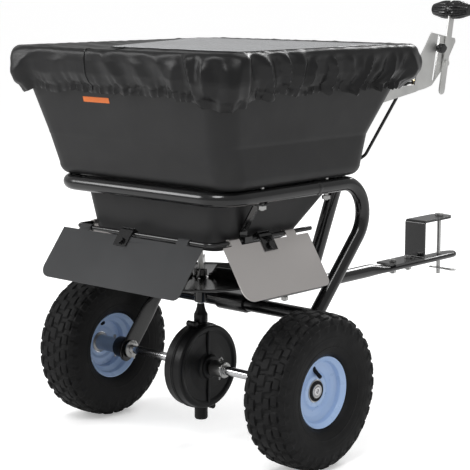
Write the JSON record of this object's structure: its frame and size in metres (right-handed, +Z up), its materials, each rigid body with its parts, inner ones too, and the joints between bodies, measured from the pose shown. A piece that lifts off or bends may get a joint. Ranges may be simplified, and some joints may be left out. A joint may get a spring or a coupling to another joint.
{
  "type": "tow-behind broadcast spreader",
  "caption": "Tow-behind garden spreader: square tapered hopper under a fabric cover, geared spinning disc, hanging deflector plates, tube frame, two wheels and a pin hitch.",
  "frame": {"origin": "middle of the base of the bounding box, on the ground", "axes": "+Z up, +Y towards the towing vehicle, +X to the right seen from behind"},
  "size_m": [0.586, 1.0076, 0.7677],
  "materials": {
    "hopper": "moulded black plastic, lightly pebbled",
    "fabric": "black coated woven cover cloth",
    "vinyl": "clear flexible window sheet",
    "paint": "gloss black powder coat",
    "plastic": "black moulded plastic",
    "stainless": "brushed stainless",
    "zinc": "bright zinc plate",
    "chrome": "bright ground bar",
    "tyre": "black rubber",
    "rim_paint": "pale blue enamel"
  },
  "bodies": {
    "frame": {"hopper": "hopper", "hopper_bolt_rear_left": "zinc", "hopper_bolt_rear_right": "zinc", "hopper_bolt_front_left": "zinc", "hopper_bolt_front_right": "zinc", "rear_hoop": "paint", "leg_left": "paint", "leg_right": "paint", "cross_tube": "paint", "tow_bar": "paint", "saddle_strap": "paint", "saddle_bolt": "zinc", "front_brace": "paint", "brace_bolt": "zinc", "brace_top_bolt_left": "zinc", "brace_top_bolt_right": "zinc", "hitch_bracket": "paint", "hitch_bolt_rear": "zinc", "hitch_bolt_front": "zinc", "axle_bush_left": "plastic", "axle_bush_right": "plastic", "gearbox_left": "plastic", "gearbox_right": "plastic", "gate_guide": "plastic", "deflector_rod": "paint", "hanger_left": "paint", "hanger_right": "paint", "control_bracket": "zinc", "bracket_bolt": "zinc", "cable": "plastic"},
    "drive_axle": {"axle": "chrome", "axle_collar": "zinc", "crown_gear": "plastic", "hub_left": "zinc", "rim_left": "rim_paint", "tyre_left": "tyre", "valve_left": "tyre", "wheel_pin": "zinc"},
    "free_wheel": {"hub_right": "zinc", "rim_right": "rim_paint", "tyre_right": "tyre", "valve_right": "tyre"},
    "spinner": {"impeller_shaft": "zinc", "impeller": "plastic", "agitator": "zinc"},
    "shutter": {"gate": "zinc"},
    "control_lever": {"lever": "zinc", "grip": "plastic"},
    "opening_stop": {"stop_knob": "plastic"},
    "right_deflector": {"deflector_right": "stainless", "deflector_clip_right": "paint"},
    "left_deflector": {"deflector_left": "stainless", "deflector_clip_left": "paint"},
    "rear_deflector": {"deflector_rear": "paint", "deflector_clip_rear": "paint"},
    "pin": {"hitch_pin": "zinc"},
    "pin_clip": {"hitch_clip": "zinc"},
    "cover": {"hopper_cover": "fabric", "cover_window": "vinyl"}
  },
  "joints": [
    {"name": "axle_turn", "type": "hinge", "parent": "frame", "child": "drive_axle", "pos_m": [0, -0.27976, 0.1325], "axis": [1, 0, 0], "continuous": true},
    {"name": "free_wheel_turn", "type": "hinge", "parent": "frame", "child": "free_wheel", "pos_m": [0.25, -0.27976, 0.1325], "axis": [1, 0, 0], "continuous": true},
    {"name": "spinner_turn", "type": "hinge", "parent": "frame", "child": "spinner", "pos_m": [0, -0.27976, 0.2885], "axis": [0, 0, 1], "continuous": true},
    {"name": "lever_turn", "type": "hinge", "parent": "frame", "child": "control_lever", "pos_m": [0.208, 0.15024, 0.6545], "axis": [-1, 0, 0], "range_deg": [0, 32]},
    {"name": "shutter_slide", "type": "slide", "parent": "frame", "child": "shutter", "axis": [0, 1, 0], "range_m": [0, 0.04]},
    {"name": "stop_slide", "type": "slide", "parent": "frame", "child": "opening_stop", "axis": [0, 0.2034, 0.9791], "range_m": [-0.03, 0.02]},
    {"name": "right_deflector_turn", "type": "hinge", "parent": "frame", "child": "right_deflector", "pos_m": [0.161, -0.29976, 0.3825], "axis": [0, -1, 0], "range_deg": [-30, 45]},
    {"name": "left_deflector_turn", "type": "hinge", "parent": "frame", "child": "left_deflector", "pos_m": [-0.161, -0.29976, 0.3825], "axis": [0, 1, 0], "range_deg": [-30, 45]},
    {"name": "rear_deflector_turn", "type": "hinge", "parent": "frame", "child": "rear_deflector", "pos_m": [-0.015, -0.42376, 0.3825], "axis": [-1, 0, 0], "range_deg": [-34, 38]},
    {"name": "pin_lift", "type": "slide", "parent": "frame", "child": "pin", "axis": [0, 0, 1], "range_m": [0, 0.014]},
    {"name": "clip_pull", "type": "slide", "parent": "pin", "child": "pin_clip", "axis": [1, 0, 0], "range_m": [0, 0.03]},
    {"name": "cover_lift", "type": "slide", "parent": "frame", "child": "cover", "axis": [0, 0, 1], "range_m": [0, 0.12]}
  ],
  "couplings": [
    {"joint": "spinner_turn", "follows": "axle_turn", "ratio": 6},
    {"joint": "shutter_slide", "follows": "lever_turn", "m_per_rad": 0.0716}
  ]
}
